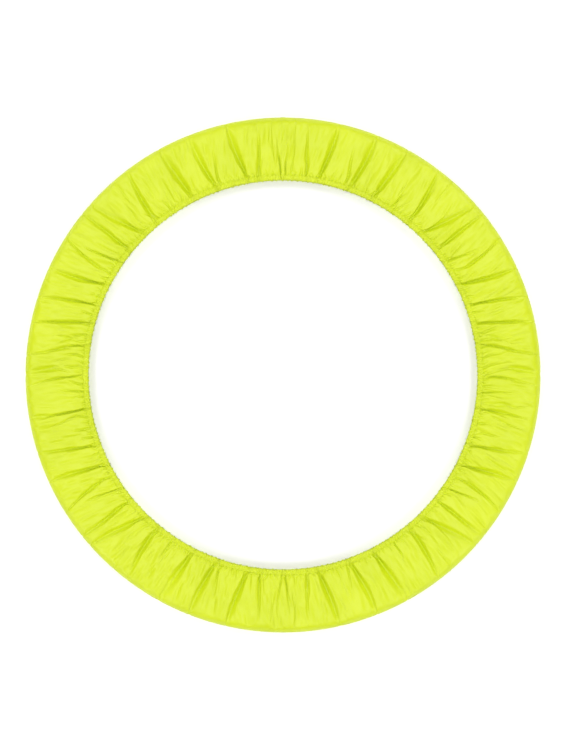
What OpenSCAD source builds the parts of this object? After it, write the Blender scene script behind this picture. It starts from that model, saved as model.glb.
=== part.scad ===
// A rhythmic gymnastics hoop inside its gathered, elasticated carrying cover.
// Millimetres, +Z up. The ring lies flat: its axis is +Z and the origin is the ring's centre
// on the surface that the cover's back rests on.

/* [Hoop] */
// Inside diameter of the hoop
hoop_inner_d = 850; // [800:5:900]
// Outside diameter of the hoop's tube
tube_d = 18; // [17:0.5:20]
// Wall thickness of the tube
tube_wall = 2.5; // [2:0.1:3]
// Gap left between the tube's two ends where they butt together
butt_gap = 0.5; // [0.2:0.1:1]

/* [Tube joint] */
// Length of the dowel inside the joint, along the tube
plug_length = 70; // [60:1:100]
// Radial clearance between the dowel and the tube's bore
plug_clearance = 0.05; // [0.02:0.01:0.1]
// Diameter of each drive pin
pin_d = 2; // [1.5:0.1:2.5]
// Distance from the joint to each drive pin, along the tube
pin_offset = 22; // [15:1:25]
// How far each drive pin's head is sunk below the tube's surface
pin_recess = 0.3; // [0.2:0.1:0.6]
// Length of the tape wound over the joint
tape_length = 60; // [54:1:90]
// Thickness of the tape
tape_t = 0.2; // [0.1:0.05:0.3]

/* [Cover] */
// Thickness of the gathered fabric wall
fabric_t = 0.8; // [0.6:0.1:0.8]
// Radial slack between the hoop's tape and the cover
channel_slack = 0.4; // [0.3:0.1:0.8]
// Width of each face, from the middle of the tube to the cover's inner edge
face_w = 98; // [80:1:120]
// Height of the front casing's underside above the back casing's top
mouth_gap = 10; // [8:0.2:10.4]

/* [Casings and elastics] */
// Width of the tunnel sewn along each inner edge
casing_w = 12; // [12:0.5:16]
// Thickness of that tunnel, puffed out by its gathers
casing_h = 5; // [4.8:0.1:5.4]
// Width of the flat elastic in each tunnel
elastic_w = 7; // [5:0.5:7.5]
// Thickness of the flat elastic
elastic_t = 0.8; // [0.6:0.1:1.1]
// Length of the sewn overlap where each elastic's ends meet
elastic_overlap = 20; // [15:1:30]
// Thickness of the sewing thread
thread_d = 0.4; // [0.3:0.05:0.5]
// Distance from each tunnel's outer edge to its row of stitching
stitch_inset = 2.6; // [2.4:0.1:3.4]
// Direction of the cover's cross seam, in degrees
seam_direction = 90; // [0:15:345]
// Direction of the hoop's joint, in degrees
joint_direction = 270; // [0:15:345]

/* [Hidden] */
$fn = 180;

tube_r = tube_d / 2;
bore_r = tube_r - tube_wall;
ring_r = hoop_inner_d / 2 + tube_r;
channel_r = tube_r + tape_t + channel_slack;
sleeve_r = channel_r + fabric_t;
tube_z = sleeve_r;

inner_edge_r = ring_r - face_w;
casing_outer_r = inner_edge_r + casing_w;
back_casing_z = thread_d;
front_casing_z = back_casing_z + casing_h + mouth_gap;
stitch_r = casing_outer_r - stitch_inset;
elastic_r = inner_edge_r + fabric_t + 0.5;
pin_depth = tube_r + 2;

fabric_colour = [0.87, 0.95, 0.2];
thread_colour = [0.8, 0.9, 0.15];
elastic_colour = [0.95, 0.95, 0.93];
hoop_colour = [0.96, 0.96, 0.95];
steel_colour = [0.7, 0.71, 0.73];
plug_colour = [0.75, 0.75, 0.72];

// Angle that a length takes up along the tube, or along a casing of the given radius
function ring_angle(length, r = ring_r) = length / r * 180 / PI;

// Sweeps a profile round the tube's centre line, over a length either side of the hoop's joint
module sweep_at_joint(length) {
    rotate([0, 0, joint_direction - ring_angle(length) / 2])
        rotate_extrude(angle = ring_angle(length))
            translate([ring_r, tube_z]) children();
}

// Rounded flat profile of one casing, or of the tunnel inside it
module stadium(w, h) {
    translate([h / 2, 0]) square([w - h, h]);
    for (x = [h / 2, w - h / 2]) translate([x, h / 2]) circle(h / 2);
}

module casing_outline(z) {
    translate([inner_edge_r, z]) stadium(casing_w, casing_h);
}

module casing(z) {
    rotate_extrude() difference() {
        casing_outline(z);
        translate([inner_edge_r + fabric_t, z + fabric_t])
            stadium(casing_w - 2 * fabric_t, casing_h - 2 * fabric_t);
    }
}

module elastic(z) {
    rotate_extrude() translate([elastic_r, z + casing_h / 2 - elastic_t]) square([elastic_w, elastic_t]);
}

// One thread on each side of a casing
module casing_stitching(z) {
    for (thread_z = [z - thread_d / 2, z + casing_h + thread_d / 2])
        rotate_extrude() translate([stitch_r, thread_z]) circle(thread_d / 2, $fn = 24);
}

// Region between the back face's underside and the front face's top, grown inward by a wall
module sleeve_region(wall, reach) {
    front_middle = front_casing_z + casing_h / 2;
    translate([ring_r, tube_z]) circle(sleeve_r - wall);
    polygon([
        [ring_r, wall],
        [ring_r, 2 * sleeve_r - wall],
        [casing_outer_r - reach, front_middle + fabric_t / 2 - wall],
        [casing_outer_r - reach, wall]
    ]);
}

// Wall of the sleeve, kept where it lies inside a rectangle from the given corner
module sleeve_wall(from, size) {
    color(fabric_colour) rotate_extrude() intersection() {
        difference() {
            sleeve_region(0, 2);
            sleeve_region(fabric_t, 3);
            casing_outline(front_casing_z);
            casing_outline(back_casing_z);
        }
        translate(from) square(size);
    }
}

// Cylinders for the two drive pins, from the ring's inner side of the tube into the dowel
module pin_pair(recess) {
    for (side = [-1, 1])
        rotate([0, 0, joint_direction + side * ring_angle(pin_offset)])
            translate([ring_r - tube_r + recess, 0, tube_z]) rotate([0, 90, 0])
                cylinder(d = pin_d, h = pin_depth - recess, $fn = 48);
}

module hoop_tube() {
    color(hoop_colour) difference() {
        rotate([0, 0, joint_direction + ring_angle(butt_gap) / 2])
            rotate_extrude(angle = 360 - ring_angle(butt_gap))
                translate([ring_r, tube_z]) difference() {
                    circle(tube_r, $fn = 64);
                    circle(bore_r, $fn = 64);
                }
        pin_pair(-1);
    }
}

module joint_plug() {
    color(plug_colour) difference() {
        sweep_at_joint(plug_length) circle(bore_r - plug_clearance, $fn = 64);
        pin_pair(pin_recess);
    }
}

module joint_pins() {
    color(steel_colour) pin_pair(pin_recess);
}

module joint_tape() {
    color(hoop_colour) sweep_at_joint(tape_length) difference() {
        circle(tube_r + tape_t, $fn = 64);
        circle(tube_r, $fn = 64);
    }
}

// The sleeve is one strip of fabric in three zones: over the rim, and a face on each side
module sleeve_rim() {
    sleeve_wall([ring_r, 0], [2 * sleeve_r, 2 * sleeve_r]);
}

module sleeve_front() {
    sleeve_wall([inner_edge_r, tube_z], [face_w, sleeve_r]);
}

module sleeve_back() {
    sleeve_wall([inner_edge_r, 0], [face_w, sleeve_r]);
}

module front_casing() {
    color(fabric_colour) casing(front_casing_z);
}

module back_casing() {
    color(fabric_colour) casing(back_casing_z);
}

module front_elastic() {
    color(elastic_colour) elastic(front_casing_z);
}

module back_elastic() {
    color(elastic_colour) elastic(back_casing_z);
}

module front_casing_stitching() {
    color(thread_colour) casing_stitching(front_casing_z);
}

module back_casing_stitching() {
    color(thread_colour) casing_stitching(back_casing_z);
}

// Seam line over the front face and the upper half of the rim, a thread proud of the fabric
module cross_seam_stitching() {
    color(thread_colour) rotate([0, 0, seam_direction])
        rotate([90, 0, 0]) linear_extrude(thread_d, center = true) intersection() {
            difference() {
                sleeve_region(-thread_d / 2, 2);
                sleeve_region(0, 3);
            }
            translate([casing_outer_r, tube_z]) square([face_w, 2 * sleeve_r]);
        }
}

// Second layer where each elastic's ends lap
module elastic_joins() {
    color(elastic_colour) for (z = [front_casing_z, back_casing_z])
        rotate([0, 0, seam_direction - ring_angle(elastic_overlap, elastic_r) / 2])
            rotate_extrude(angle = ring_angle(elastic_overlap, elastic_r))
                translate([elastic_r, z + casing_h / 2]) square([elastic_w, elastic_t]);
}

hoop_tube();
joint_plug();
joint_pins();
joint_tape();
sleeve_rim();
sleeve_front();
sleeve_back();
front_casing();
back_casing();
front_elastic();
back_elastic();
elastic_joins();
front_casing_stitching();
back_casing_stitching();
cross_seam_stitching();
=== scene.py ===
import math

import bpy
import numpy as np
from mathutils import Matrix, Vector


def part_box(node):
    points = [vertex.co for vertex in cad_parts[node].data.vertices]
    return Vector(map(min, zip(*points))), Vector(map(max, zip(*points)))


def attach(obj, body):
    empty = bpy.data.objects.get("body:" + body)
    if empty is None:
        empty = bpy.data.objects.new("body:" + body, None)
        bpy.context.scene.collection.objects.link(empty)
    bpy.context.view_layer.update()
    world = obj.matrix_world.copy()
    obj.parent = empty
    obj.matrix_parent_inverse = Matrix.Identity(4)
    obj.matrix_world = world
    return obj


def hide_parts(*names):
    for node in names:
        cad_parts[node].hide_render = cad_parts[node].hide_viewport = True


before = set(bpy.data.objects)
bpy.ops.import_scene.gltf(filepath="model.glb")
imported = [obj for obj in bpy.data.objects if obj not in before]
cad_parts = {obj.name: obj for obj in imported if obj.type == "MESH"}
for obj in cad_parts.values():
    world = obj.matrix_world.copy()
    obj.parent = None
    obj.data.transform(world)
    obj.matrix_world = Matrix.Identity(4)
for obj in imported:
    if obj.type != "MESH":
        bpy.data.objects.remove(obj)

# A gathered hoop cover with its hoop inside. Metres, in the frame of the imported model: the ring
# lies flat, its axis is +Z, and the cover's cross seam is on +Y.

MM = 0.001
SINGLE = np.float32
TINY = 1e-9
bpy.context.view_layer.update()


# ---------------------------------------------------------------- sizes, all read from the frame

def ring_radii(*nodes):
    """Smallest and largest distance of these nodes' surfaces from the ring's axis."""
    distances = []
    for node in nodes:
        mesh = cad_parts[node].data
        points = np.empty(len(mesh.vertices) * 3)
        mesh.vertices.foreach_get("co", points)
        distances.append(np.hypot(points[0::3], points[1::3]))
    distances = np.concatenate(distances)
    return float(distances.min()), float(distances.max())


def middle_height(node):
    low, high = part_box(node)
    return (low[2] + high[2]) / 2


TUBE_R = (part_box("hoop_tube")[1][2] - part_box("hoop_tube")[0][2]) / 2
RING_R = ring_radii("hoop_tube")[1] - TUBE_R
TUBE_Z = middle_height("hoop_tube")
TAPE_R = (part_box("joint_tape")[1][2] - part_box("joint_tape")[0][2]) / 2
HOOP_CLEAR_R = TAPE_R + 0.6 * MM               # how near the cloth comes to the tube's middle line
WRAP_R = TUBE_R + 2.0 * MM                     # the cloth's surface round the tube between its creases
RIM_R = RING_R + WRAP_R
EDGE_R = ring_radii("front_casing")[0]
STITCH_R = ring_radii("front_casing_stitching")[0]
ELASTIC_IN_R, ELASTIC_OUT_R = ring_radii("front_elastic")
ELASTIC_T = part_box("front_elastic")[1][2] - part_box("front_elastic")[0][2]
FRONT_CASING_Z = middle_height("front_casing")
BACK_CASING_Z = middle_height("back_casing")
CLOTH_GAP = 0.35 * MM                          # from the elastic's skin to the middle of the cloth
SEAM_ANGLE = math.pi / 2
RIM_EXCESS = 0.015                             # how much longer the strip is than the rim
RIM_ARC = WRAP_R * math.pi / 2                 # cloth from the rim's outermost line to the tube's crown
TUNNEL_SPARE = 1.8 * MM                        # extra cloth over and under each elastic
TUNNEL_RISE = 1.6 * MM                         # how far the unfolded casing stands off its middle


# ---------------------------------------------------------------- where the creases run

# One quarter of the cover, counted from the ring's top or bottom towards its side. Each crease has
# its direction in degrees at the rim, half way and the inner edge, where it starts and ends from
# 0 at the rim to 1 at the edge, how strong it is, and how wide.
QUARTER_CREASES = [
    (1.2, 1.3, 0.6, 0.35, 1.0, 0.5, 1.0),
    (2.8, 2.7, 2.3, 0.1, 0.8, 0.35, 1.6),
    (5.8, 5.9, 6.6, 0.3, 1.0, 0.5, 2.0),
    (8.8, 9.1, 9.4, 0.0, 0.8, 0.15, 1.0),
    (12.8, 11.9, 10.3, 0.0, 1.0, 1.0, 1.6),
    (15.0, 15.4, 16.0, 0.4, 0.9, 0.15, 1.0),
    (17.3, 17.2, 18.2, 0.3, 1.0, 0.45, 1.4),
    (21.4, 21.0, 19.7, 0.0, 1.0, 1.0, 1.6),
    (24.6, 24.5, 24.3, 0.1, 0.8, 0.15, 1.0),
    (29.0, 28.0, 27.0, 0.0, 1.0, 1.0, 1.9),
    (31.6, 32.2, 33.4, 0.2, 1.0, 0.3, 1.6),
    (37.3, 38.2, 39.2, 0.15, 1.0, 0.8, 1.8),
    (41.1, 41.1, 40.8, 0.0, 0.5, 0.6, 0.9),
    (48.8, 46.7, 44.3, 0.0, 1.0, 1.0, 1.5),
    (51.4, 50.6, 50.8, 0.0, 1.0, 0.9, 1.3),
    (57.4, 58.8, 59.6, 0.12, 0.8, 0.9, 1.1),
    (57.2, 56.6, 55.3, 0.5, 1.0, 0.7, 1.3),
    (62.4, 61.6, 60.8, 0.1, 0.9, 0.15, 1.0),
    (65.3, 64.6, 63.0, 0.0, 1.0, 1.0, 1.3),
    (67.9, 69.4, 70.8, 0.02, 0.25, 0.4, 0.8),
    (72.5, 70.8, 69.4, 0.0, 1.0, 0.9, 1.1),
]
# The last stretch before the side differs between the upper and the lower half.
UPPER_SIDE_CREASES = [
    (75.4, 73.8, 72.2, 0.2, 1.0, 0.2, 1.0),
    (78.2, 76.8, 74.9, 0.0, 1.0, 0.9, 1.1),
    (85.0, 82.3, 77.6, 0.3, 0.9, 0.8, 1.0),
    (85.7, 84.0, 81.4, 0.0, 1.0, 0.8, 1.0),
    (87.2, 86.8, 86.0, 0.1, 0.7, 0.3, 1.4),
    (89.7, 88.6, 87.6, 0.0, 0.55, 1.0, 1.8),
]
LOWER_SIDE_CREASES = [
    (75.4, 74.2, 72.2, 0.2, 1.0, 0.2, 1.0),
    (78.2, 77.2, 79.8, 0.1, 0.9, 0.5, 0.9),
    (79.6, 79.8, 80.2, 0.25, 1.0, 0.8, 1.2),
    (83.2, 81.6, 80.6, 0.05, 0.5, 0.4, 1.4),
    (86.4, 85.4, 84.6, 0.1, 1.0, 0.25, 1.4),
    (87.1, 88.4, 90.0, 0.1, 0.9, 0.8, 0.9),
    (90.0, 88.9, 88.4, 0.0, 0.4, 0.8, 1.6),
]
# Where each quarter starts, which way it turns, and its side creases
QUARTERS = [
    (90, -1, UPPER_SIDE_CREASES), (90, 1, UPPER_SIDE_CREASES),
    (270, -1, LOWER_SIDE_CREASES), (270, 1, LOWER_SIDE_CREASES),
]


def crease_lines():
    """Every crease round the ring, with its directions in degrees from +X."""
    lines = []
    for start, turn, side in QUARTERS:
        for rim, middle, edge, begin, end, strength, width in QUARTER_CREASES + side:
            lines.append((start + turn * rim, start + turn * middle, start + turn * edge,
                          begin, end, strength, width))
    return lines


CREASE_HALF = 4.4 * MM                         # half of a crease's width, for a width of 1
CREASE_FADE = 0.2                              # share of the face over which a crease fades in or out
CREASE_LEAD = 0.12                             # how far before its start it begins to show
CREASE_TRAIL = 0.10                            # and how far past its end it has gone
CREASE_TIP = 0.45                              # its width at the rim end, as a share of its full width
CREASE_TAPER = 0.55                            # share of the face over which it widens
CREASE_ROUND = 0.4                             # how rounded the valley is, 0 for straight sides
PAST_STITCHES = 1.15                           # how far creases run on into the casing


def smooth(x):
    x = np.clip(x, 0.0, 1.0)
    return x * x * (3 - 2 * x)


# ---------------------------------------------------------------- the cloth as a grid

class Side:
    """Front (up = 1) or back (up = -1) of the cover, from the rim to its casing."""

    def __init__(self, up, casing_z, slack, lowest, highest):
        """slack is the face's spare width, as a share; the cloth stays from lowest to highest."""
        self.up, self.casing_z = up, casing_z
        self.lowest, self.highest = lowest, highest
        self.crown = TUBE_Z + up * WRAP_R
        self.face = math.hypot(RING_R - STITCH_R, self.crown - casing_z) * (1 + slack)
        self.stitch_s = RIM_ARC + self.face
        self.tunnel = STITCH_R - EDGE_R + TUNNEL_SPARE
        self.length = 2 * math.pi * RIM_R * (1 + RIM_EXCESS)


# The widest step between rows over the tube, the face, the finer stretch by the casing, and the casing
RIM_STEP, FACE_STEP, NEAR_STEP, TUNNEL_STEP = 3.1 * MM, 4.2 * MM, 1.7 * MM, 1.3 * MM
NEAR_CASING = 22 * MM                          # how wide that finer stretch is


def add_rows(rows, stretches, spacing):
    """Adds evenly spaced rows over each stretch, which is given as its length and step."""
    for length, step in stretches:
        count = max(2, round(length / (step * spacing)))
        rows += [rows[-1] + length * (i + 1) / count for i in range(count)]


class Grid:
    """Rows across the cloth, from the rim at s = 0, by columns round the ring."""

    def __init__(self, side, columns, spacing):
        self.side, self.columns = side, columns
        rows = [0.0]
        add_rows(rows, [(RIM_ARC, RIM_STEP), (side.face - NEAR_CASING, FACE_STEP),
                        (NEAR_CASING, NEAR_STEP)], spacing)
        self.stitch_row = len(rows) - 1
        add_rows(rows, [(side.tunnel, TUNNEL_STEP)] * 2, spacing)
        self.s = np.array(rows)
        self.rows = len(rows)
        self.turn = 2 * math.pi / columns
        self.angle = np.arange(columns) * self.turn
        self.across = np.diff(self.s).astype(SINGLE)[:, None]
        self.along = SINGLE(side.length / columns)
        self.diagonal = np.sqrt(self.across ** 2 + self.along ** 2).astype(SINGLE)
        between = self.angle + self.turn / 2
        self.tangent_between = np.stack([-np.sin(between), np.cos(between)]).astype(SINGLE)
        self.tangent = np.stack([-np.sin(self.angle), np.cos(self.angle)]).astype(SINGLE)
        self.share = np.clip(self.s / side.stitch_s, 0, 1.2)   # 0 at the rim, 1 at the stitches
        self.layer = (self.s - side.stitch_s) / side.tunnel    # 0..1 over the elastic, 1..2 back under

    def unfolded(self):
        """Radius and height of each row before any gathers."""
        side = self.side
        bend = np.minimum(self.s, RIM_ARC) / WRAP_R
        r = RING_R + WRAP_R * np.cos(bend)
        z = TUBE_Z + side.up * WRAP_R * np.sin(bend)
        on_face = (self.s > RIM_ARC) & (self.layer <= TINY)
        t = (self.s - RIM_ARC) / side.face
        r = np.where(on_face, RING_R + (STITCH_R - RING_R) * t, r)
        z = np.where(on_face, side.crown + (side.casing_z - side.crown) * t, z)
        in_tunnel = self.layer > TINY
        around = np.pi * self.layer
        r = np.where(in_tunnel, EDGE_R + (STITCH_R - EDGE_R) * (1 + np.cos(around)) / 2, r)
        z = np.where(in_tunnel, side.casing_z + side.up * TUNNEL_RISE * np.sin(around), z)
        return r, z

    def creases(self, lines, angle):
        """How deep a crease is at each row and angle, 0 to 1."""
        deep = np.zeros((self.rows, len(angle)), SINGLE)
        degrees = np.degrees(angle)[None, :]
        q = np.clip(self.share, 0, PAST_STITCHES)[:, None]
        radius = RIM_R + (STITCH_R - RIM_R) * np.clip(q, 0, 1)
        for rim, middle, edge, begin, end, strength, width in lines:
            # The curve through its three directions, at q = 0, a half and 1
            slope = -3 * rim + 4 * middle - edge
            curve = 2 * rim - 4 * middle + 2 * edge
            centre = rim + slope * q + curve * q * q
            off = np.abs(np.radians((degrees - centre + 180) % 360 - 180) * radius)
            ramp = smooth((q - begin + CREASE_LEAD) / CREASE_FADE)
            if end < 1:
                ramp = ramp * smooth((end + CREASE_TRAIL - q) / CREASE_FADE)
            spindle = CREASE_TIP + (1 - CREASE_TIP) * smooth((q - begin) / CREASE_TAPER)
            half = CREASE_HALF * width * spindle
            valley = smooth(1 - off / half) * CREASE_ROUND
            valley = valley + np.maximum(1 - off / half, 0) * (1 - CREASE_ROUND)
            deep = np.maximum(deep, strength * ramp * valley)
        return deep.astype(SINGLE)


# ---------------------------------------------------------------- the cloth solver

PUFF = 2.0e-6                                  # how far a pass lifts the lobes, in metres
CREASE_PULL = 3.0                              # the pull down in a crease, as a multiple of that
MOMENTUM = 0.93                                # how much of its motion the cloth keeps between passes
SHEAR = 0.04                                   # stiffness of the weave's diagonals
BENDING = 0.5                                  # stiffness against folding at a single column
FLATTEST = 0.97                                # how straight two columns are kept on a lobe
FOLD_EASE = 0.4                                # and how much less in a crease
ROUNDING = 0.2                                 # stiffness against sharp bends over a longer reach
ROUNDING_REACH = 4.8 * MM
ROUNDEST = 0.985                               # how straight that reach is kept on a lobe
ROUNDING_EASE = 0.5                            # how much less in a crease
CREASE_SPREAD = 1.6                            # how far that ease spreads over a crease's sides
CASING_ROUNDING = 0.78                         # how straight it is kept beside the casing
CASING_REACH, CASING_BLEND = 16 * MM, 10 * MM
ORDER_GAP = 0.1                                # least distance of two columns, as a share of their spacing
SPACING_PULL = 0.003                           # how fast the elastic spaces the stitched rows out
STITCH_PULL = 0.3                              # how fast it draws them to their radius
SEWN_GAP = 0.3 * MM                            # between the casing's two layers at the stitches
TUNNEL_ROOM = 3.2 * MM                         # how far the casing may pucker from its middle plane
STITCH_ROOM = 1.2 * MM                         # the same at its stitches
ELASTIC_SKIN = 0.2 * MM                        # how much wider the elastic is taken to be
EDGE_BAND = 0.12                               # share of a layer that counts as the inner edge
EDGE_SPARE = 0.6 * MM                          # how far the cloth may pass the inner edge
RIM_SPARE = 0.3 * MM                           # and the rim
ROUGHNESS = 0.4 * MM                           # unevenness that the first shape starts with
ROUGH_FROM = 0.9                               # share of the rim's arc from which it has that
ROUGH_SUM = 1.7                                # brings three random rows added up back to about one
LOBE_LIFT = 0.8 * MM                           # how far that shape's lobes stand above the taut cloth
LOBE_RISE = 1.3 * MM                           # how far they may come to stand above it
LOOSE_FROM = 0.3                               # share of the rim's arc from which the cloth moves freely
LOOSE_OVER = 12 * MM                           # and the width over which it comes fully free
STITCH_FADE = 5 * MM                           # the width over which it is held again at the stitches
RIPPLE = 1.6 * MM                              # faint long ripples on the lobes
RIPPLE_KNOTS = ((320, 3), (560, 5))            # how many there are round the ring and across a face
RIPPLE_SLANT = 3.0                             # degrees
FIRST_ROOM = 0.4 * MM                          # first shape: what is left under its deepest crease
FIRST_MOST = 9 * MM                            # and the deepest that one may go below the face
FIRST_DEEPEST = 14 * MM
FIRST_FINER, RIM_FINER = 4, 8                  # how many times finer than the cloth its lines are measured


def spring(a, b, rest, stiffness, push_only=False):
    """What to add to a, and take from b, to bring their distance to rest."""
    d = b - a
    length = np.sqrt(d[0] * d[0] + d[1] * d[1] + d[2] * d[2]) + SINGLE(TINY)
    change = 1 - rest / length
    if push_only:
        np.minimum(change, 0, out=change)
    d *= change * SINGLE(stiffness)
    return d


def springs_across(points, grid, rest, stiffness, shift=0):
    """Springs from each row to the next, shift columns on. The rim's row is pinned."""
    for first in (0, 1):
        a = points[:, first:-1:2]
        count = a.shape[1]
        b = points[:, first + 1::2][:, :count]
        d = spring(a, np.roll(b, -shift, axis=2) if shift else b, rest[first::2][:count], stiffness)
        to_a = d * SINGLE(0.5)
        to_b = to_a
        if first == 0:
            to_b = to_a.copy()
            to_b[:, 0] = d[:, 0]
            to_a[:, 0] = 0
        a += to_a
        b -= np.roll(to_b, shift, axis=2) if shift else to_b


def springs_along(points, step, rest, stiffness, push_only=False):
    """Springs from each column to the one step further round, for all rows but the rim's."""
    rows = points[:, 1:]
    per_column = np.ndim(rest) == 2
    for first in range(2 * step):
        a = rows[:, :, first::2 * step]
        goal = rest[:, first::2 * step] if per_column else rest
        if first < step:
            b = rows[:, :, first + step::2 * step]
            d = spring(a, b, goal, stiffness, push_only) * SINGLE(0.5)
            b -= d
        else:
            b = rows[:, :, first - step::2 * step]
            d = spring(a, np.roll(b, -1, axis=2), goal, stiffness, push_only) * SINGLE(0.5)
            b -= np.roll(d, 1, axis=2)
        a += d


def keep_order(points, grid, gap):
    """Neighbouring columns stay in order round the ring, so that no fold passes through itself."""
    rows = points[:2, 1:]
    for odd in (0, 1):
        a = rows[:, :, odd::2]
        b = rows[:, :, 0::2] if odd else rows[:, :, 1::2]
        ahead = np.roll(b, -1, axis=2) if odd else b
        tangent = grid.tangent_between[:, odd::2]
        short = gap - (ahead[0] - a[0]) * tangent[0] - (ahead[1] - a[1]) * tangent[1]
        short = np.maximum(short, 0) * SINGLE(0.5)
        for axis in (0, 1):
            move = short * tangent[axis]
            a[axis] -= move
            b[axis] += np.roll(move, 1, axis=1) if odd else move


def sew(points, grid):
    """The casing's last row is stitched to the row where it starts, and the elastic spaces them out."""
    thickness = SINGLE(SEWN_GAP * grid.side.up)
    stitch = grid.stitch_row
    middle = (points[:, stitch] + points[:, -1]) / 2
    points[:, stitch] = middle
    points[:, -1] = middle
    points[2, stitch] += thickness / 2
    points[2, -1] -= thickness / 2
    drift = (middle[0] * grid.tangent[0] + middle[1] * grid.tangent[1]) * SINGLE(SPACING_PULL)
    for row in (stitch, -1):
        points[0, row] -= drift * grid.tangent[0]
        points[1, row] -= drift * grid.tangent[1]


def collide(points, grid, ceiling):
    """Keeps the cloth outside the hoop and the elastic, and inside the room that its side has."""
    side = grid.side
    x, y, z = points
    r = np.sqrt(x * x + y * y)
    out, up = r - SINGLE(RING_R), z - SINGLE(TUBE_Z)
    depth = np.sqrt(out * out + up * up)
    skin = SINGLE(HOOP_CLEAR_R)
    inside = depth < skin
    grow = np.where(inside, skin / np.maximum(depth, SINGLE(1e-6)), SINGLE(1))
    np.copyto(z, SINGLE(TUBE_Z) + up * grow, where=inside)
    new_r = np.where(inside, SINGLE(RING_R) + out * grow, r)
    np.minimum(new_r, SINGLE(RIM_R + RIM_SPARE), out=new_r)

    first = grid.stitch_row
    middle = SINGLE(side.casing_z)
    tunnel_r, tunnel_z = new_r[first:], z[first:]
    centre = SINGLE((ELASTIC_IN_R + ELASTIC_OUT_R) / 2)
    past_r = np.abs(tunnel_r - centre) - SINGLE((ELASTIC_OUT_R - ELASTIC_IN_R) / 2 + ELASTIC_SKIN)
    past_z = np.abs(tunnel_z - middle) - SINGLE(ELASTIC_T)
    distance = np.sqrt(np.maximum(past_r, 0) ** 2 + np.maximum(past_z, 0) ** 2)
    distance += np.minimum(np.maximum(past_r, past_z), 0)
    need = np.maximum(SINGLE(CLOTH_GAP) - distance, 0)
    above = (np.where(grid.layer[first:] < 1, 1, -1) * side.up).astype(SINGLE)[:, None]
    at_edge = smooth(1 - np.abs(grid.layer[first:] - 1) / EDGE_BAND).astype(SINGLE)[:, None]
    tunnel_z += need * above * (1 - at_edge)
    tunnel_r -= need * at_edge
    np.clip(tunnel_z, middle - SINGLE(TUNNEL_ROOM), middle + SINGLE(TUNNEL_ROOM), out=tunnel_z)
    np.maximum(tunnel_r, SINGLE(EDGE_R - EDGE_SPARE), out=tunnel_r)
    for row in (first, -1):
        new_r[row] += (SINGLE(STITCH_R) - new_r[row]) * SINGLE(STITCH_PULL)
        np.clip(z[row], middle - SINGLE(STITCH_ROOM), middle + SINGLE(STITCH_ROOM), out=z[row])
    x *= new_r / r
    y *= new_r / r
    if side.up > 0:
        np.minimum(z, ceiling, out=z)
    else:
        np.maximum(z, ceiling, out=z)
    np.clip(z, SINGLE(side.lowest), SINGLE(side.highest), out=z)


def refine(points, old, new):
    """The same cloth on a finer grid."""
    times = new.columns // old.columns
    finer = np.empty((3, old.rows, new.columns), SINGLE)
    for part in range(times):
        share = SINGLE(part / times)
        finer[:, :, part::times] = points * (1 - share) + np.roll(points, -1, axis=2) * share
    below = np.clip(np.searchsorted(old.s, new.s, side="right") - 1, 0, old.rows - 2)
    share = ((new.s - old.s[below]) / (old.s[below + 1] - old.s[below])).astype(SINGLE)[None, :, None]
    return finer[:, below] * (1 - share) + finer[:, below + 1] * share


def rim_line(grid, lines):
    """The cloth's outermost line, which both sides share, with a small dent at each crease."""
    angle = np.arange(RIM_FINER * grid.columns) * grid.turn / RIM_FINER
    dent = grid.creases(lines, angle)[0]
    low, high = 0.0, WRAP_R - HOOP_CLEAR_R
    for _ in range(18):                        # halves towards the dents that use up the strip's length
        depth = (low + high) / 2
        r = RIM_R - depth * dent
        length = np.hypot(r * grid.turn / RIM_FINER, np.roll(r, -1) - r)
        low, high = (depth, high) if length.sum() < grid.side.length else (low, depth)
    return evenly_spaced(grid, angle, r, np.full_like(r, TUBE_Z))


def evenly_spaced(grid, angle, r, z):
    """Points on a closed line round the ring, one for each column, at equal distances."""
    next_r, next_z = np.roll(r, -1), np.roll(z, -1)
    length = np.sqrt((r * (angle[1] - angle[0])) ** 2 + (next_r - r) ** 2 + (next_z - z) ** 2)
    travelled = np.concatenate([[0], np.cumsum(length)])
    goal = np.arange(grid.columns) * travelled[-1] / grid.columns
    full = np.append(angle, 2 * math.pi)
    at = np.interp(goal, travelled, full)
    at -= (at - grid.angle).mean()
    r_at = np.interp(at, full, np.append(r, r[0]), period=2 * math.pi)
    z_at = np.interp(at, full, np.append(z, z[0]), period=2 * math.pi)
    return np.stack([r_at * np.cos(at), r_at * np.sin(at), z_at])


def pleated(grid, lines, free):
    """A first shape: each row folded into the creases as deep as its spare length needs."""
    side = grid.side
    angle = np.arange(FIRST_FINER * grid.columns) * grid.turn / FIRST_FINER
    deep = grid.creases(lines, angle)
    rows_r, rows_z = grid.unfolded()
    points = np.empty((3, grid.rows, grid.columns), SINGLE)
    for row in range(grid.rows):
        r, z = rows_r[row], rows_z[row]
        room = min(side.up * (z - TUBE_Z) - FIRST_ROOM, FIRST_MOST)
        out = abs(r - RING_R)
        if out < HOOP_CLEAR_R:
            room = max(0, side.up * (z - TUBE_Z) - math.sqrt(HOOP_CLEAR_R ** 2 - out ** 2))
        low, high = 0.0, FIRST_DEEPEST
        for _ in range(12):                    # halves the range each time
            depth = (low + high) / 2
            lift = LOBE_LIFT + max(0, depth - room) * 0.5
            height = (lift - np.minimum(depth * deep[row], room + lift)) * free[row]
            length = np.hypot(r * angle[1], np.roll(height, -1) - height).sum()
            low, high = (depth, high) if length < side.length else (low, depth)
        points[:, row] = evenly_spaced(grid, angle, np.full_like(angle, r), z + side.up * height)
    return points


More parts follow.
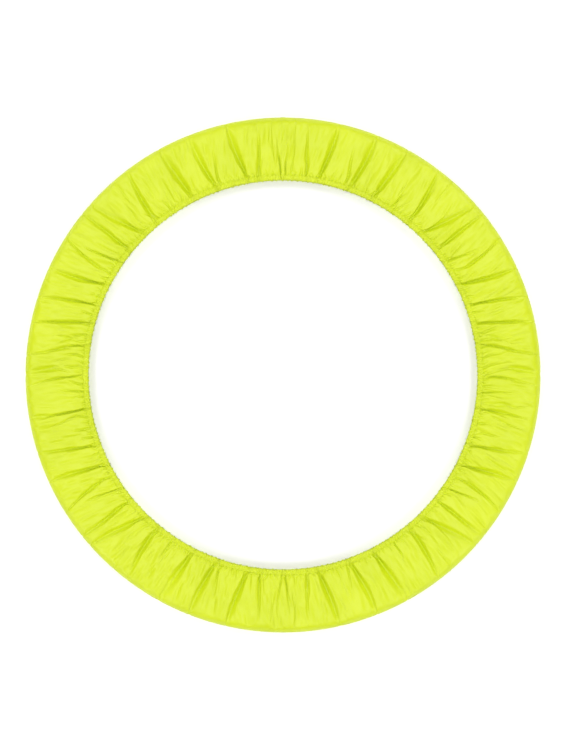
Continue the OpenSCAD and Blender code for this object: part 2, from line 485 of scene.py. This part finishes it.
def ripples(grid, seed):
    """Heights of faint ripples that run across the cloth at a slant, the same on every grid."""
    random = np.random.default_rng(seed + 100)
    total = np.zeros((grid.rows, grid.columns))
    q = grid.share[:, None]
    for around, across in RIPPLE_KNOTS:
        knots = random.normal(0, 1, (across + 2, around))
        slant = np.radians(RIPPLE_SLANT) * np.sin(3 * grid.angle + random.uniform(0, 6, 1))
        at = (grid.angle + slant * q) / (2 * math.pi) * around
        low = np.floor(at).astype(int)
        near = smooth(at - low)
        down = q * across
        top = np.clip(np.floor(down).astype(int), 0, across)
        inward = smooth(down - top)
        for row, row_share in ((top, 1 - inward), (top + 1, inward)):
            here, there = knots[row, low % around], knots[row, (low + 1) % around]
            total += row_share * (here * (1 - near) + there * near)
    return RIPPLE * total / 2


def lobe_ceiling(grid, free, seed):
    """The height at which each point is pressed flat, which is never inside the hoop."""
    side = grid.side
    flat_r, flat_z = grid.unfolded()
    ceiling = side.up * flat_z[:, None] + LOBE_RISE + free * ripples(grid, seed)
    hoop_top = np.sqrt(np.maximum(HOOP_CLEAR_R ** 2 - (flat_r - RING_R) ** 2, 0))[:, None]
    over_hoop = side.up * TUBE_Z + hoop_top
    ceiling = np.where(hoop_top > 0, np.maximum(ceiling, over_hoop), ceiling)
    return (side.up * ceiling).astype(SINGLE)


def settle(side, levels, lines, seed):
    """Gathers one side of the cover. levels lists (columns, row spacing, passes), coarse to fine."""
    random = np.random.default_rng(seed)
    points = grid = None
    for columns, spacing, passes in levels:
        old, grid = grid, Grid(side, columns, spacing)
        deep = grid.creases(lines, grid.angle)
        off_rim = smooth((grid.s - LOOSE_FROM * RIM_ARC) / LOOSE_OVER)
        free = off_rim * smooth((side.stitch_s - grid.s) / STITCH_FADE)
        if points is None:
            points = pleated(grid, lines, free)
        else:
            points = refine(points, old, grid)
        free = free[:, None].astype(SINGLE)
        ceiling = lobe_ceiling(grid, free, seed)
        rough = random.normal(0, 1, (grid.rows, columns))
        rough = (rough + np.roll(rough, 1, 0) + np.roll(rough, -1, 0)) / ROUGH_SUM
        loose = smooth((grid.s - ROUGH_FROM * RIM_ARC) / LOOSE_OVER)[:, None]
        points[2] += (loose * rough * ROUGHNESS * levels[0][0] / columns).astype(SINGLE)
        rim = rim_line(grid, lines).astype(SINGLE)
        points[:, 0] = rim
        before = points.copy()
        lifted = off_rim * (grid.layer < 1)
        puff = side.up * PUFF * lifted[:, None] * (1 - CREASE_PULL * deep)
        puff = puff.astype(SINGLE)
        reach = 2 ** int(math.log2(max(2, ROUNDING_REACH / grid.along)))
        bend = (2 * grid.along * (FLATTEST - FOLD_EASE * deep)).astype(SINGLE)[1:]
        stiff = ROUNDEST - ROUNDING_EASE * np.clip(deep * CREASE_SPREAD, 0, 1)
        near_casing = smooth((grid.s - side.stitch_s + CASING_REACH) / CASING_BLEND)[:, None]
        stiff = stiff * (1 - near_casing) + CASING_ROUNDING * near_casing
        round_off = (reach * grid.along * stiff).astype(SINGLE)[1:]
        for _ in range(passes):
            moved = (points - before) * SINGLE(MOMENTUM)
            before = points.copy()
            points += moved
            points[2] += puff
            points[:, 0] = rim
            springs_along(points, 1, grid.along, 1)
            springs_across(points, grid, grid.across, 1)
            springs_across(points, grid, grid.diagonal, SHEAR, 1)
            springs_across(points, grid, grid.diagonal, SHEAR, -1)
            springs_along(points, 2, bend, BENDING, True)
            if reach > 2:
                springs_along(points, reach, round_off, ROUNDING, True)
            keep_order(points, grid, SINGLE(ORDER_GAP) * grid.along)
            sew(points, grid)
            collide(points, grid, ceiling)
            points[:, 0] = rim
    return points, grid


# ---------------------------------------------------------------- mesh pieces

STITCH_PITCH = 3.0 * MM
THREAD_R = 0.2 * MM
THREAD_RISE = 0.15 * MM                        # a thread's middle above the cloth's surface
THREAD_DIP = -0.15 * MM                        # and where it goes into the cloth
THREAD_SIDES = 6
THREAD_TIP = 0.55                              # its radius at a stitch's ends, as a share
STITCH_POINTS = np.linspace(0.12, 0.88, 4)     # where a stitch's points lie within its pitch
SEAM_HALF = 4.0 * MM                           # half the width of the cross seam's overlap
SEAM_RISE = 0.45 * MM                          # how far the overlap stands up
SEAM_BEVEL = 1.4 * MM                          # the width over which it does
SEAM_STITCHES = 0.6                            # where its two stitch rows run, as a share of SEAM_HALF
ELASTIC_RIB = 1.6 * MM                         # from one rib of the elastic to the next
ELASTIC_RIB_DEPTH = 0.08 * MM
ELASTIC_TRIM = 0.4 * MM                        # how much narrower the ribbed band is at each edge
ELASTIC_OVERLAP = 20 * MM
BAND_LOW, BAND_HIGH = -0.75, -0.05             # the band's faces from its middle, in thicknesses
JOIN_LOW, JOIN_HIGH = 0.05, 0.75               # and those of the overlap sewn on top of it


def new_piece(name, points, faces, material, body, normals=None, corners_uv=None):
    """A smooth mesh that rides on a body, with its own normals and cloth coordinates if given."""
    mesh = bpy.data.meshes.new(name)
    mesh.from_pydata(points.tolist(), [], faces)
    mesh.polygons.foreach_set("use_smooth", np.ones(len(mesh.polygons), bool))
    if corners_uv is not None:
        layer = mesh.uv_layers.new(name="cloth")
        layer.uv.foreach_set("vector", corners_uv.astype(SINGLE).ravel())
    if normals is not None:
        mesh.normals_split_custom_set_from_vertices(normals.tolist())
    mesh.materials.append(material)
    mesh.update()
    piece = bpy.data.objects.new(name, mesh)
    bpy.context.scene.collection.objects.link(piece)
    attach(piece, body)
    return piece


def normals_of(points, grid):
    """The cloth's outward normal at each point."""
    along = np.roll(points, -1, axis=2) - np.roll(points, 1, axis=2)
    across = np.empty_like(points)
    across[:, 1:-1] = points[:, 2:] - points[:, :-2]
    across[:, 0] = points[:, 1] - points[:, 0]
    across[:, -1] = points[:, -1] - points[:, -2]
    normals = np.cross(along, across, axis=0) * grid.side.up
    normals[:, 0] = np.stack([points[0, 0], points[1, 0], 0 * points[2, 0]])
    return normals / np.maximum(np.linalg.norm(normals, axis=0), 1e-12)


def with_seam(points, grid):
    """Thickens the cloth where the strip's two ends overlap in the cross seam."""
    normals = normals_of(points, grid)
    off = np.abs(np.arange(grid.columns) * float(grid.along) - seam_place(grid))
    raised = SEAM_RISE * smooth((SEAM_HALF + SEAM_BEVEL / 2 - off) / SEAM_BEVEL)
    thick = points + normals * raised.astype(SINGLE)
    thick[2] = np.clip(thick[2], grid.side.lowest, None)
    return thick


def seam_place(grid):
    """Where the cross seam's middle lies along the strip."""
    return SEAM_ANGLE / (2 * math.pi) * grid.side.length


def quads(first, next_row, columns):
    """Faces between two rows of vertices, each given by the index that it starts at."""
    c = np.arange(columns)
    d = (c + 1) % columns
    return np.stack([first + c, first + d, next_row + d, next_row + c], axis=1)


def quads_uv(s0, s1, columns, step):
    """The cloth coordinates of those faces' corners, in metres along and across the strip."""
    u = np.arange(columns) * step
    low, high = np.full(columns, s0), np.full(columns, s1)
    corners = [(u, low), (u + step, low), (u + step, high), (u, high)]
    return np.stack([np.stack(corner, 1) for corner in corners], 1)


def casing_piece(name, points, normals, grid, material):
    """The tunnel from its stitch row over the elastic and back."""
    rows = slice(grid.stitch_row, None)
    columns, s = grid.columns, grid.s[rows]
    turn = 1 if grid.side.up > 0 else -1
    faces, uvs = [], []
    for row in range(len(s) - 1):
        faces.append(quads(row * columns, (row + 1) * columns, columns)[:, ::turn])
        uvs.append(quads_uv(s[row], s[row + 1], columns, float(grid.along))[:, ::turn])
    return new_piece(name, flat(points[:, rows]), np.concatenate(faces).tolist(), material, "cover",
                     flat(normals[:, rows]), np.concatenate(uvs).reshape(-1, 2))


def flat(rows):
    """A grid's rows as one list of points."""
    return rows.transpose(1, 2, 0).reshape(-1, 3)


def sleeve_piece(front, front_normals, front_grid, back, back_normals, back_grid, material):
    """Both faces and the rim as one sheet.

    The back has half the columns and, past the hoop, half the rows.
    """
    columns = front_grid.columns
    step = float(front_grid.along)
    front_rows = list(range(front_grid.stitch_row, -1, -1))
    past_hoop = int(np.searchsorted(back_grid.s, RIM_ARC + WRAP_R))
    back_rows = list(range(1, past_hoop + 1))
    back_rows += list(range(back_grid.stitch_row, past_hoop, -2))[::-1]
    front_s, back_s = front_grid.s[front_rows], -back_grid.s[back_rows]
    half = columns // 2
    points = np.concatenate([flat(front[:, front_rows]), flat(back[:, back_rows, ::2])])
    normals = np.concatenate([flat(front_normals[:, front_rows]), flat(back_normals[:, back_rows, ::2])])
    faces, uvs = [], []
    for row in range(len(front_s) - 1):
        faces += quads(row * columns, (row + 1) * columns, columns)[:, ::-1].tolist()
        uvs.append(quads_uv(front_s[row], front_s[row + 1], columns, step)[:, ::-1].reshape(-1, 2))
    rim = (len(front_s) - 1) * columns
    coarse = len(front_s) * columns
    for k in range(half):                      # three triangles join two fine columns to a coarse one
        a, b, c = rim + 2 * k, rim + 2 * k + 1, rim + (2 * k + 2) % columns
        d, e = coarse + k, coarse + (k + 1) % half
        faces += [[a, d, b], [b, e, c], [b, d, e]]
        u0, u1, u2 = 2 * k * step, (2 * k + 1) * step, (2 * k + 2) * step
        low = back_s[0]
        uvs.append(np.array([[u0, 0], [u0, low], [u1, 0], [u1, 0], [u2, low], [u2, 0],
                             [u1, 0], [u0, low], [u2, low]]))
    for row in range(len(back_s) - 1):
        faces += quads(coarse + row * half, coarse + (row + 1) * half, half)[:, ::-1].tolist()
        uvs.append(quads_uv(back_s[row], back_s[row + 1], half, 2 * step)[:, ::-1].reshape(-1, 2))
    return new_piece("cover_sleeve", points, faces, material, "cover", normals,
                     np.concatenate(uvs))


def thread_piece(name, stitches, material):
    """Stitches as short round threads. Each is a list of points with the cloth's normal there."""
    points, faces = [], []
    turns = np.arange(THREAD_SIDES) * 2 * math.pi / THREAD_SIDES
    for places, normals in stitches:
        count = len(places)
        along = np.gradient(places, axis=0)
        along /= np.linalg.norm(along, axis=1)[:, None]
        beside = np.cross(along, normals)
        beside /= np.linalg.norm(beside, axis=1)[:, None]
        above = np.cross(beside, along)
        first = len(points)
        for k in range(count):
            end = k in (0, count - 1)
            centre = places[k] + normals[k] * (THREAD_DIP if end else THREAD_RISE)
            radius = THREAD_R * (THREAD_TIP if end else 1.0)
            for turn in turns:
                points.append(centre + radius * (math.cos(turn) * beside[k] + math.sin(turn) * above[k]))
        for k in range(count - 1):
            for n in range(THREAD_SIDES):
                m = (n + 1) % THREAD_SIDES
                a, b = first + k * THREAD_SIDES, first + (k + 1) * THREAD_SIDES
                faces.append([a + n, a + m, b + m, b + n])
        last = first + (count - 1) * THREAD_SIDES
        faces.append([first + n for n in reversed(range(THREAD_SIDES))])
        faces.append([last + n for n in range(THREAD_SIDES)])
    return new_piece(name, np.array(points), faces, material, "cover")


def stitches_along(points, normals, grid, row):
    """Stitches round the ring, over one row of the cloth."""
    columns = grid.columns
    wrapped = np.arange(columns + 1) * float(grid.along)
    place = [np.append(points[axis, row], points[axis, row, 0]) for axis in range(3)]
    normal = [np.append(normals[axis, row], normals[axis, row, 0]) for axis in range(3)]
    made = []
    count = int(grid.side.length / STITCH_PITCH)
    for n in range(count):
        u = (n + STITCH_POINTS) * grid.side.length / count
        made.append((np.stack([np.interp(u, wrapped, line) for line in place], 1),
                     np.stack([np.interp(u, wrapped, line) for line in normal], 1)))
    return made


def stitches_across(points, normals, grid, offset):
    """Stitches from the rim to the casing, beside the cross seam."""
    at = (seam_place(grid) + offset) / float(grid.along)
    low, share = int(at), at - int(at)
    line = points[:, :, low] * (1 - share) + points[:, :, low + 1] * share
    normal = normals[:, :, low] * (1 - share) + normals[:, :, low + 1] * share
    made = []
    count = int(grid.side.stitch_s / STITCH_PITCH)
    for n in range(count):
        s = (n + STITCH_POINTS) * grid.side.stitch_s / count
        made.append((np.stack([np.interp(s, grid.s, line[axis]) for axis in range(3)], 1),
                     np.stack([np.interp(s, grid.s, normal[axis]) for axis in range(3)], 1)))
    return made


def elastic_piece(name, middle, start, stop, low, high, material):
    """A ribbed elastic band from one angle to another, between two heights over a middle one."""
    ribs = round((stop - start) * ELASTIC_IN_R / ELASTIC_RIB)
    closed = stop - start > 2 * math.pi - TINY
    inner, outer = ELASTIC_IN_R + ELASTIC_TRIM, ELASTIC_OUT_R - ELASTIC_TRIM
    count = 2 * ribs + (0 if closed else 1)
    points, faces = [], []
    for n in range(count):
        angle = start + (stop - start) * n / (2 * ribs)
        sink = ELASTIC_RIB_DEPTH * (n % 2)
        section = [(inner, low + sink), (outer, low + sink), (outer, high - sink), (inner, high - sink)]
        points += [(r * math.cos(angle), r * math.sin(angle), middle + z) for r, z in section]
    for n in range(count if closed else count - 1):
        a, b = 4 * n, 4 * ((n + 1) % count)
        faces += [[a + k, a + (k + 1) % 4, b + (k + 1) % 4, b + k] for k in range(4)]
    if not closed:
        faces += [[0, 3, 2, 1], [4 * count - 4 + k for k in range(4)]]
    return new_piece(name, np.array(points), faces, material, "cover")


# ---------------------------------------------------------------- materials

THREAD_PITCH = 0.3 * MM                        # from one thread of the weave to the next
FABRIC_SHADES = (0.575, 0.685, 0.003), (0.62, 0.725, 0.006)
FABRIC_GLOSS = 0.38, 0.52                      # its lowest and highest roughness


def material(name):
    """A new material, with its nodes, links and shader."""
    made = bpy.data.materials.new(name)
    made.use_nodes = True
    return made, made.node_tree.nodes, made.node_tree.links, made.node_tree.nodes["Principled BSDF"]


def texture(nodes, links, kind, vector, **sockets):
    """A texture node read at vector, with its other sockets set."""
    made = nodes.new(kind)
    links.new(vector, made.inputs["Vector"])
    for name, value in sockets.items():
        made.inputs[name].default_value = value
    return made


def stretched(nodes, links, vector, scale, turn=0.0):
    """Coordinates scaled, and turned about Z by an angle in radians."""
    mapping = nodes.new("ShaderNodeMapping")
    mapping.inputs["Scale"].default_value = scale
    mapping.inputs["Rotation"].default_value = (0, 0, turn)
    links.new(vector, mapping.inputs["Vector"])
    return mapping.outputs["Vector"]


def product(nodes, links, a, b):
    """Two patterns multiplied."""
    made = nodes.new("ShaderNodeMath")
    made.operation = "MULTIPLY"
    links.new(a, made.inputs[0])
    links.new(b, made.inputs[1])
    return made.outputs[0]


def wave_scale(pitch):
    """A wave texture's scale for bands this far apart."""
    return 2 * math.pi / 20 / pitch


def uneven_gloss(nodes, links, pattern, low, high, shader):
    gloss = nodes.new("ShaderNodeMapRange")
    gloss.inputs["To Min"].default_value = low
    gloss.inputs["To Max"].default_value = high
    links.new(pattern, gloss.inputs["Value"])
    links.new(gloss.outputs["Result"], shader.inputs["Roughness"])


def bumped(nodes, links, shader, layers):
    """Adds bumps to a shader. layers lists (height, depth in metres, strength)."""
    normal = None
    for height, depth, strength in layers:
        bump = nodes.new("ShaderNodeBump")
        bump.inputs["Distance"].default_value = depth
        bump.inputs["Strength"].default_value = strength
        links.new(height, bump.inputs["Height"])
        if normal:
            links.new(normal, bump.inputs["Normal"])
        normal = bump.outputs["Normal"]
    links.new(normal, shader.inputs["Normal"])


def varied(nodes, links, amount, stops, target):
    """Colours target by amount, along the given stops."""
    ramp = nodes.new("ShaderNodeValToRGB")
    ramp.color_ramp.elements[0].position, ramp.color_ramp.elements[0].color = stops[0]
    ramp.color_ramp.elements[1].position, ramp.color_ramp.elements[1].color = stops[-1]
    for place, colour in stops[1:-1]:
        ramp.color_ramp.elements.new(place).color = colour
    links.new(amount, ramp.inputs["Fac"])
    links.new(ramp.outputs["Color"], target)


def fabric_material():
    """Fluorescent nylon taffeta: a plain weave of fine threads, faintly crinkled, with a soft gloss."""
    made, nodes, links, shader = material("cover_fabric")
    cloth = nodes.new("ShaderNodeUVMap")
    cloth.uv_map = "cloth"
    uv = cloth.outputs["UV"]
    crinkle = texture(nodes, links, "ShaderNodeTexNoise", stretched(nodes, links, uv, (170, 22, 1), 0.12),
                      Scale=1.0, Detail=3.0, Roughness=0.55)
    fine = texture(nodes, links, "ShaderNodeTexNoise", stretched(nodes, links, uv, (520, 130, 1), -0.2),
                   Scale=1.0, Detail=2.0, Roughness=0.5)
    warp = texture(nodes, links, "ShaderNodeTexWave", stretched(nodes, links, uv, (1, 1, 1)),
                   Scale=wave_scale(THREAD_PITCH))
    weft = texture(nodes, links, "ShaderNodeTexWave", stretched(nodes, links, uv, (1, 1, 1), math.pi / 2),
                   Scale=wave_scale(THREAD_PITCH))
    weave = product(nodes, links, warp.outputs["Fac"], weft.outputs["Fac"])
    patches = texture(nodes, links, "ShaderNodeTexNoise", stretched(nodes, links, uv, (14, 14, 1)),
                      Scale=1.0, Detail=2.0)
    darker, lighter = FABRIC_SHADES
    varied(nodes, links, patches.outputs["Fac"], [(0.3, (*darker, 1)), (0.7, (*lighter, 1))],
           shader.inputs["Base Color"])
    uneven_gloss(nodes, links, fine.outputs["Fac"], *FABRIC_GLOSS, shader)
    shader.inputs["Specular IOR Level"].default_value = 0.5
    shader.inputs["Sheen Weight"].default_value = 0.05
    shader.inputs["Sheen Roughness"].default_value = 0.4
    shader.inputs["Sheen Tint"].default_value = (0.9, 1.0, 0.3, 1)
    bumped(nodes, links, shader, [(crinkle.outputs["Fac"], 0.5 * MM, 0.5),
                                  (fine.outputs["Fac"], 0.12 * MM, 0.5), (weave, 0.05 * MM, 0.35)])
    return made


def moulded(name, colour, darker, roughness, grain, depth, metallic=0.0, coat=0.0):
    """Plastic or metal with a fine grain: two shades in patches, uneven gloss and a slight bump."""
    made, nodes, links, shader = material(name)
    place = nodes.new("ShaderNodeTexCoord").outputs["Object"]
    patches = texture(nodes, links, "ShaderNodeTexNoise", place, Scale=60.0, Detail=3.0)
    fine = texture(nodes, links, "ShaderNodeTexNoise", place, Scale=grain, Detail=4.0, Roughness=0.6)
    varied(nodes, links, patches.outputs["Fac"], [(0.35, (*darker, 1)), (0.65, (*colour, 1))],
           shader.inputs["Base Color"])
    uneven_gloss(nodes, links, fine.outputs["Fac"], roughness * 0.8, roughness * 1.2, shader)
    shader.inputs["Metallic"].default_value = metallic
    shader.inputs["Coat Weight"].default_value = coat
    bumped(nodes, links, shader, [(fine.outputs["Fac"], depth, 0.4)])
    return made


def ribbed(name, colour, darker, roughness, pitch, depth):
    """Woven elastic or twisted thread: fine ribs round the ring over a fibrous grain, with painted shade
    that darkens the colour in the ribs' grooves.
    """
    made, nodes, links, shader = material(name)
    place = nodes.new("ShaderNodeTexCoord").outputs["Object"]
    ribs = nodes.new("ShaderNodeTexWave")
    ribs.wave_type = "RINGS"
    ribs.rings_direction = "Z"
    ribs.inputs["Scale"].default_value = wave_scale(pitch)
    ribs.inputs["Distortion"].default_value = 0.6
    links.new(place, ribs.inputs["Vector"])
    fibres = texture(nodes, links, "ShaderNodeTexNoise", place, Scale=1500.0, Detail=3.0)
    # Painted shade: the colour darkens where the ribs' bump is low, in the grooves, mixed with a real
    # fibrous grain
    rib_groove_shade_and_grain = product(nodes, links, ribs.outputs["Fac"], fibres.outputs["Fac"])
    varied(nodes, links, rib_groove_shade_and_grain, [(0.1, (*darker, 1)), (0.6, (*colour, 1))], shader.inputs["Base Color"])
    shader.inputs["Roughness"].default_value = roughness
    shader.inputs["Sheen Weight"].default_value = 0.2
    bumped(nodes, links, shader, [(ribs.outputs["Fac"], depth, 0.6),
                                  (fibres.outputs["Fac"], depth / 2, 0.4)])
    return made


def node_materials():
    """The material of each CAD node that is shown as it is."""
    hoop = moulded("hoop_plastic", (0.82, 0.82, 0.80), (0.76, 0.76, 0.75), 0.32, 900, 0.03 * MM, coat=0.3)
    plug = moulded("plug_plastic", (0.70, 0.71, 0.72), (0.62, 0.63, 0.64), 0.42, 700, 0.04 * MM)
    steel = moulded("pin_steel", (0.62, 0.62, 0.63), (0.52, 0.52, 0.53), 0.28, 2500, 0.01 * MM,
                    metallic=1.0)
    tape = moulded("tape_film", (0.75, 0.76, 0.78), (0.62, 0.64, 0.68), 0.22, 400, 0.05 * MM, coat=0.6)
    return {"hoop_tube": hoop, "joint_plug": plug, "joint_pins": steel, "joint_tape": tape}


# ---------------------------------------------------------------- stage

WORLD_LIGHT = 0.70
SKY_STOPS = [(0.0, (1, 1, 1, 1)), (0.35, (0.4, 0.4, 0.4, 1))]   # brighter at the horizon than above
FLOOR_HALF = 12.0
CAMERA_HEIGHT = 4.0
SENSOR = 36.0
RING_SHARE = 0.6867                            # the ring's width over the picture's height
# Each lamp's name, place, size and power: a broad one overhead, and a softbox off each corner
LAMPS = [("overhead", (0.0, 0.2, 10.0), 3.2, 335)]
LAMPS += [("softbox_%d" % n, (x * 0.95, y * 0.95, 0.95), 0.6, 7.2)
          for n, (x, y) in enumerate([(-1, 1), (1, 1), (-1, -1), (1, -1)])]


def make_stage():
    half = FLOOR_HALF
    mesh = bpy.data.meshes.new("floor")
    mesh.from_pydata([(-half, -half, 0), (half, -half, 0), (half, half, 0), (-half, half, 0)], [],
                     [(0, 1, 2, 3)])
    paper, _, _, shader = material("floor")
    shader.inputs["Base Color"].default_value = (1, 1, 1, 1)
    shader.inputs["Roughness"].default_value = 0.9
    mesh.materials.append(paper)
    floor = bpy.data.objects.new("floor", mesh)
    bpy.context.scene.collection.objects.link(floor)
    world = bpy.data.worlds.new("studio")
    bpy.context.scene.world = world
    world.use_nodes = True
    nodes, links = world.node_tree.nodes, world.node_tree.links
    sky = nodes.new("ShaderNodeTexCoord")
    split = nodes.new("ShaderNodeSeparateXYZ")
    links.new(sky.outputs["Generated"], split.inputs["Vector"])
    varied(nodes, links, split.outputs["Z"], SKY_STOPS, nodes["Background"].inputs["Color"])
    nodes["Background"].inputs["Strength"].default_value = WORLD_LIGHT
    for name, place, size, energy in LAMPS:
        light = bpy.data.lights.new(name, "AREA")
        light.size = size
        light.energy = energy
        lamp = bpy.data.objects.new(name, light)
        lamp.location = place
        lamp.rotation_euler = (-Vector(place)).to_track_quat("-Z", "Y").to_euler()
        bpy.context.scene.collection.objects.link(lamp)


def make_camera():
    """Square above the ring, as the ring is seen face on."""
    camera = bpy.data.cameras.new("camera")
    camera.sensor_width = SENSOR
    camera.lens = SENSOR * RING_SHARE * (CAMERA_HEIGHT - TUBE_Z) / (2 * RIM_R)
    holder = bpy.data.objects.new("camera", camera)
    holder.location = (0, 0, CAMERA_HEIGHT)
    bpy.context.scene.collection.objects.link(holder)
    bpy.context.scene.camera = holder


# ---------------------------------------------------------------- the object

# Each side's spare width, as a share of its face, and the lowest and highest that its cloth may lie
FRONT_SLACK, FRONT_LOWEST, FRONT_HIGHEST = 0.006, 9.5 * MM, 30 * MM
BACK_SLACK, BACK_LOWEST, BACK_HIGHEST = 0.010, 0.4 * MM, 9.0 * MM
FRONT_SEED, BACK_SEED = 5, 6
# The cloth's grids from coarse to fine: columns, how far apart rows are, and passes
LEVELS = [(1152, 1.5, 200), (2304, 1.0, 300)]


def finished_side(side, seed):
    """One side gathered and settled, with its cross seam: its points, normals and grid."""
    points, grid = settle(side, LEVELS, crease_lines(), seed)
    points = with_seam(points.astype(float), grid)
    return points, normals_of(points, grid), grid


def add_casing(name, points, normals, grid, fabric, thread, elastic):
    """A side's casing with its stitches and elastic band, in place of the CAD's."""
    casing = casing_piece(name + "_casing_cloth", points, normals, grid, fabric)
    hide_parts(name + "_casing")
    stitches = stitches_along(points, normals, grid, grid.stitch_row)
    stitches += stitches_along(points, normals, grid, -1)
    stitching = thread_piece(name + "_casing_threads", stitches, thread)
    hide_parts(name + "_casing_stitching")
    band = elastic_piece(name + "_elastic_band", grid.side.casing_z, 0, 2 * math.pi,
                         BAND_LOW * ELASTIC_T, BAND_HIGH * ELASTIC_T, elastic)
    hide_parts(name + "_elastic")
    return [casing, stitching, band]


def add_join(name, grid, elastic):
    """The overlap where a side's elastic is sewn to a ring."""
    half_overlap = ELASTIC_OVERLAP / 2 / ELASTIC_IN_R
    join = elastic_piece(name + "_elastic_join", grid.side.casing_z, SEAM_ANGLE - half_overlap,
                         SEAM_ANGLE + half_overlap, JOIN_LOW * ELASTIC_T, JOIN_HIGH * ELASTIC_T, elastic)
    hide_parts("elastic_joins")


def add_seam(sides, thread):
    """The two rows of stitches down the cross seam, over both sides."""
    stitches = []
    for side in sides:
        for offset in (-SEAM_HALF * SEAM_STITCHES, SEAM_HALF * SEAM_STITCHES):
            stitches += stitches_across(*side, offset)
    seam = thread_piece("cross_seam_threads", stitches, thread)
    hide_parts("cross_seam_stitching")
    return seam


make_camera()
make_stage()
scene = bpy.context.scene
scene.view_settings.view_transform = "Standard"
scene.view_settings.look = "None"

fabric = fabric_material()
front_side = Side(1, FRONT_CASING_Z, FRONT_SLACK, FRONT_LOWEST, FRONT_HIGHEST)
back_side = Side(-1, BACK_CASING_Z, BACK_SLACK, BACK_LOWEST, BACK_HIGHEST)
sides = [finished_side(front_side, FRONT_SEED), finished_side(back_side, BACK_SEED)]
sleeve = sleeve_piece(*sides[0], *sides[1], fabric)
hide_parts("sleeve_rim", "sleeve_front", "sleeve_back")

thread = ribbed("sewing_thread", (0.72, 0.87, 0.02), (0.5, 0.64, 0.01), 0.5, 0.35 * MM, 0.05 * MM)
elastic = ribbed("elastic_webbing", (0.83, 0.83, 0.80), (0.55, 0.55, 0.53), 0.8, 0.9 * MM, 0.15 * MM)
trim = []
for name, side in zip(("front", "back"), sides):
    trim += add_casing(name, *side, fabric, thread, elastic)
    add_join(name, side[2], elastic)
trim.append(add_seam(sides, thread))

for name, finish in node_materials().items():
    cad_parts[name].material_slots[0].material = finish
